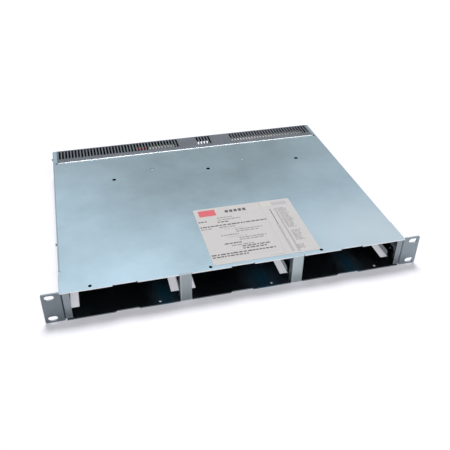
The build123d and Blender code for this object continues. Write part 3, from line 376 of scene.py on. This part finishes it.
def breakEdges(name, width):
    work = bmesh.new()
    work.from_mesh(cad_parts[name].data)
    bmesh.ops.remove_doubles(work, verts=work.verts, dist=edgeSettings["sameCorner"] * mm)
    bmesh.ops.dissolve_limit(work, angle_limit=math.radians(edgeSettings["flatWithin"]),
                             verts=work.verts, edges=work.edges)
    low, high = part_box(name)
    for face in work.faces:
        face.material_index = slotOf.get(faceFinish(name, face, low, high), 0)
    breaks = [  # weight, width, segments, and material slot or -1 for that of the faces beside it
        ("bevel_weight_edge", width, edgeSettings["segments"], -1),
        ("frontOfStrip", edgeSettings["frontOfStrip"], 1, slotOf["sheared"]),
        ("rimOfHole", edgeSettings["rimOfHole"], 1, slotOf["punched"]),
    ]
    weights = {row[0]: [] for row in breaks}
    for edge in work.edges:
        slots = {face.material_index for face in edge.link_faces}
        atTop = min(v.co.z for v in edge.verts) > high.z - edgeSettings["atTop"] * mm
        bent = edge.calc_face_angle(0) > math.radians(edgeSettings["fromAngle"])
        hole = slotOf["punched"] in slots
        front = name == "rear_panel" and slotOf["sheared"] in slots and atTop
        weights["bevel_weight_edge"].append(float(bent and not hole and not front))
        weights["frontOfStrip"].append(float(bent and front))
        weights["rimOfHole"].append(float(bent and hole and atTop))
    mesh = bpy.data.meshes.new(name + "_sheet")
    work.to_mesh(mesh)
    work.free()
    for finish in [nodeFinish[name]] + ownFinishes:
        mesh.materials.append(finishes[finish])
    mesh.polygons.foreach_set("use_smooth", [True] * len(mesh.polygons))
    piece = bpy.data.objects.new(name + "_sheet", mesh)
    bpy.context.scene.collection.objects.link(piece)
    for kind, size, segments, slot in breaks:
        if any(weights[kind]):
            mesh.attributes.new(kind, "FLOAT", "EDGE").data.foreach_set("value", weights[kind])
            bevel = piece.modifiers.new(kind, "BEVEL")
            bevel.width = size * mm
            bevel.segments = segments
            bevel.material = slot
            bevel.limit_method = "WEIGHT"
            bevel.edge_weight = kind
            bevel.use_clamp_overlap = slot < 0  # short edges don't hold a wide break back
    even = piece.modifiers.new("evenNormals", "WEIGHTED_NORMAL")  # wide flats stay flat beside the bends
    even.mode = "FACE_AREA"
    even.keep_sharp = True
    even.weight = 100  # the largest faces count alone
    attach(piece, "root")
    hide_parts(name)


for name, width in brokenEdge.items():
    breakEdges(name, width)
print("edges broken on", len(brokenEdge), "sheets")

# The label's print: colour fields, rules and rows of word-like bars that stand for lines of small text.
# Places are measured from the label's front left corner.
# The inks were printed thin and lie flat, so they have nearly the film's own gloss.
ink = {"black": "#4a494b", "grey": "#8d8c90", "pale": "#b9b7ba", "red": "#d9606a", "field": "#bdbbc0",
       "cream": "#d3d1cb"}
labelPrint = {
    "lift": 0.02,  # above the film
    "fields": [  # left, right, front, back, ink
        (6.0, 29.5, 105.5, 120.0, "red"),
        (111.5, 134.0, 111.0, 119.0, "field"),
        (95.0, 110.5, 111.0, 122.0, "cream"),
    ],
    "rules": [
        (94.8, 95.2, 3.0, 122.0, "pale"),
        (30.0, 94.8, 102.5, 102.8, "pale"),
        (3.0, 94.8, 11.2, 11.5, "pale"),
        (104.9, 105.9, 66.0, 103.0, "black"),
    ],
    "title": (43.0, 74.5, 109.0, 115.0, 5, "black"),  # left, right, front, back, words, ink
    "rows": [  # left, right, middle, height, ink
        (28.0, 50.0, 98.5, 2.0, "grey"), (1.5, 13.5, 93.5, 2.4, "black"), (28.0, 60.0, 93.5, 2.0, "grey"),
        (27.0, 42.0, 88.5, 2.2, "black"), (1.5, 93.5, 81.0, 2.4, "black"), (1.5, 18.0, 76.0, 2.0, "grey"),
        (26.0, 48.0, 76.0, 2.2, "grey"), (32.0, 59.0, 71.0, 1.8, "pale"), (46.0, 83.0, 67.0, 2.0, "grey"),
        (46.0, 78.0, 62.8, 2.0, "grey"), (24.0, 48.0, 57.5, 2.2, "grey"), (32.0, 60.0, 52.5, 1.8, "pale"),
        (46.0, 83.0, 48.5, 2.0, "grey"), (46.0, 78.0, 44.5, 2.0, "grey"), (24.0, 48.0, 39.0, 2.4, "black"),
        (32.0, 62.0, 34.0, 2.0, "grey"), (45.0, 83.0, 30.0, 2.2, "black"), (45.0, 78.0, 25.5, 2.2, "black"),
        (2.0, 86.0, 19.0, 2.4, "black"), (2.0, 49.0, 14.5, 2.2, "black"), (74.0, 93.0, 3.5, 1.4, "pale"),
    ],
    "columns": [  # left, right, front, back, row pitch, ink: small rows stacked up a narrow column
        (103.5, 107.5, 5.0, 66.0, 2.1, "grey"), (111.5, 115.0, 4.0, 103.0, 2.1, "grey"),
        (116.0, 130.0, 56.0, 103.0, 2.6, "grey"), (117.0, 131.0, 27.0, 48.0, 2.6, "grey"),
        (114.0, 124.0, 9.0, 16.5, 2.4, "grey"),
    ],
    "word": (2.2, 6.5), "gap": (0.7, 1.6), "shortest": 1, "seed": 7,
    "titleWord": 0.72, "smallRow": 0.45,  # share of its step that a title's word or a small row fills
    "ragged": 0.3,  # how much of a small row can be missing at its right end
}


def printLabel():
    low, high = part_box("cover_label")
    corner = Vector((low.x, low.y, high.z + labelPrint["lift"] * mm))
    chance = random.Random(labelPrint["seed"])
    names = list(ink)
    work = bmesh.new()

    def field(left, right, front, back, tone):
        spots = [(left, front), (right, front), (right, back), (left, back)]
        face = work.faces.new([work.verts.new(corner + Vector((x, y, 0)) * mm) for x, y in spots])
        face.material_index = names.index(tone)

    def words(left, right, middle, height, tone):
        x = left
        while x < right - labelPrint["shortest"]:
            end = min(x + chance.uniform(*labelPrint["word"]), right)
            field(x, end, middle - height / 2, middle + height / 2, tone)
            x = end + chance.uniform(*labelPrint["gap"])

    for shape in labelPrint["fields"] + labelPrint["rules"]:
        field(*shape)
    left, right, front, back, count, tone = labelPrint["title"]
    step = (right - left) / count
    for i in range(count):
        field(left + i * step, left + (i + labelPrint["titleWord"]) * step, front, back, tone)
    for row in labelPrint["rows"]:
        words(*row)
    for left, right, front, back, pitch, tone in labelPrint["columns"]:
        y = front
        while y < back:
            end = right - chance.uniform(0, labelPrint["ragged"]) * (right - left)
            words(left, end, y, labelPrint["smallRow"] * pitch, tone)
            y += pitch
    mesh = bpy.data.meshes.new("label_print")
    work.to_mesh(mesh)
    work.free()
    for tone, code in ink.items():
        mesh.materials.append(printedFilm("labelInk" + tone.capitalize(),
                                          {"rough": 0.42, "ripple": 9, "dark": code, "light": code}))
    piece = bpy.data.objects.new("label_print", mesh)
    bpy.context.scene.collection.objects.link(piece)
    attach(piece, "root")


printLabel()
print("label printed")

# Camera: stands in front and to the left, looking down on the shelf.
view = {"place": (-169.45, -720.83, 497.95), "turn": 15.14, "dip": 35.16, "roll": -0.78,
        "lens": 47.06, "sensor": 36, "nearest": 10}


def setCamera():
    turn, dip, roll = (math.radians(view[k]) for k in ("turn", "dip", "roll"))
    ahead = Vector((math.sin(turn) * math.cos(dip), math.cos(turn) * math.cos(dip), -math.sin(dip)))
    right = Vector((math.cos(turn), -math.sin(turn), 0))
    down = ahead.cross(right)
    rolledRight = right * math.cos(roll) + down * math.sin(roll)
    rolledDown = down * math.cos(roll) - right * math.sin(roll)
    data = bpy.data.cameras.new("camera")
    data.lens = view["lens"]
    data.sensor_width = view["sensor"]
    data.clip_start = view["nearest"] * mm
    camera = bpy.data.objects.new("camera", data)
    bpy.context.scene.collection.objects.link(camera)
    turned = Matrix((rolledRight, -rolledDown, -ahead)).transposed().to_4x4()
    camera.matrix_world = Matrix.Translation(Vector(view["place"]) * mm) @ turned
    bpy.context.scene.camera = camera


setCamera()

# Floor and light: a white table that glows a little, most under the shelf, a strong lamp above and a
# little behind, and a weak, wide one above and in front.
studio = {
    "floorSize": 9000, "floorDrop": 0.1,  # the floor's top is this far below the shelf
    "floorDiffuse": "#e7e6ed", "glowTint": "#f9f9ff", "worldLevel": 0.12,
    "floorGlow": 0.3, "poolGlow": 0.48,
    "pool": (218, 178), "poolRim": 0.95,  # half size of the brighter pool, and where it starts to fade
    "lamps": [  # where it stands seen from the shelf, how wide it looks in degrees, level
        ((60, 460, 1150), 20, 2.4),
        ((350, -800, 800), 40, 0.5),
    ],
}


# 1 for the rays that look at the background straight, in a gloss or through glass
def seenRays(tree):
    path = add(tree, "LightPath")
    first = add(tree, "Math", {"operation": "MAXIMUM"},
                {0: path.outputs["Is Camera Ray"], 1: path.outputs["Is Glossy Ray"]})
    return add(tree, "Math", {"operation": "MAXIMUM"},
               {0: first.outputs[0], 1: path.outputs["Is Transmission Ray"]}).outputs[0]


# Painted board: matt and white. The glow shows only to the rays that look at it.
def paleFloor():
    material = bpy.data.materials.new("paleFloor")
    material.use_nodes = True
    tree = material.node_tree
    tree.nodes.clear()
    where = add(tree, "TexCoord").outputs["Object"]
    scaled = add(tree, "Mapping", {"Scale": [perMetre(size) for size in studio["pool"]] + [0]},
                 {"Vector": where})
    out = add(tree, "VectorMath", {"operation": "ABSOLUTE"}, {0: scaled.outputs[0]})
    sides = add(tree, "SeparateXYZ", links={0: out.outputs[0]})
    away = add(tree, "Math", {"operation": "MAXIMUM"}, {0: sides.outputs[0], 1: sides.outputs[1]})
    level = add(tree, "MapRange", {"From Min": studio["poolRim"], "To Min": studio["poolGlow"],
                                   "To Max": studio["floorGlow"]}, {"Value": away.outputs[0]})
    glow = add(tree, "Emission", {"Color": linear(studio["glowTint"])}, {"Strength": level.outputs[0]})
    table = add(tree, "BsdfDiffuse", {"Color": linear(studio["floorDiffuse"])})
    both = add(tree, "AddShader", links={0: glow.outputs[0], 1: table.outputs[0]})
    mixed = add(tree, "MixShader", links={0: seenRays(tree), 1: table.outputs[0], 2: both.outputs[0]})
    add(tree, "OutputMaterial", links={"Surface": mixed.outputs[0]})
    return material


def setStudio():
    mesh = bpy.data.meshes.new("floor")
    half = studio["floorSize"] / 2 * mm
    mesh.from_pydata([(-half, -half, 0), (half, -half, 0), (half, half, 0), (-half, half, 0)], [],
                     [(0, 1, 2, 3)])
    mesh.materials.append(paleFloor())
    floor = bpy.data.objects.new("floor", mesh)
    floor.location.z = -studio["floorDrop"] * mm
    bpy.context.scene.collection.objects.link(floor)

    world = bpy.data.worlds.new("softRoom")
    bpy.context.scene.world = world
    world.use_nodes = True
    tree = world.node_tree
    tree.nodes.clear()
    room = add(tree, "Background", {"Color": (1, 1, 1, 1), "Strength": studio["worldLevel"]})
    white = add(tree, "Background", {"Color": (1, 1, 1, 1), "Strength": 1.0})
    mixed = add(tree, "MixShader", links={0: seenRays(tree), 1: room.outputs[0], 2: white.outputs[0]})
    add(tree, "OutputWorld", links={"Surface": mixed.outputs[0]})

    for i, (place, width, level) in enumerate(studio["lamps"]):
        data = bpy.data.lights.new(f"lamp{i}", "SUN")
        data.angle = math.radians(width)
        data.energy = level
        lamp = bpy.data.objects.new(f"lamp{i}", data)
        bpy.context.scene.collection.objects.link(lamp)
        lamp.location = Vector(place) * mm
        lamp.rotation_euler = (-lamp.location).to_track_quat("-Z", "Y").to_euler()


setStudio()
bpy.context.scene.view_settings.view_transform = "Standard"
print("camera, floor and lamps set")
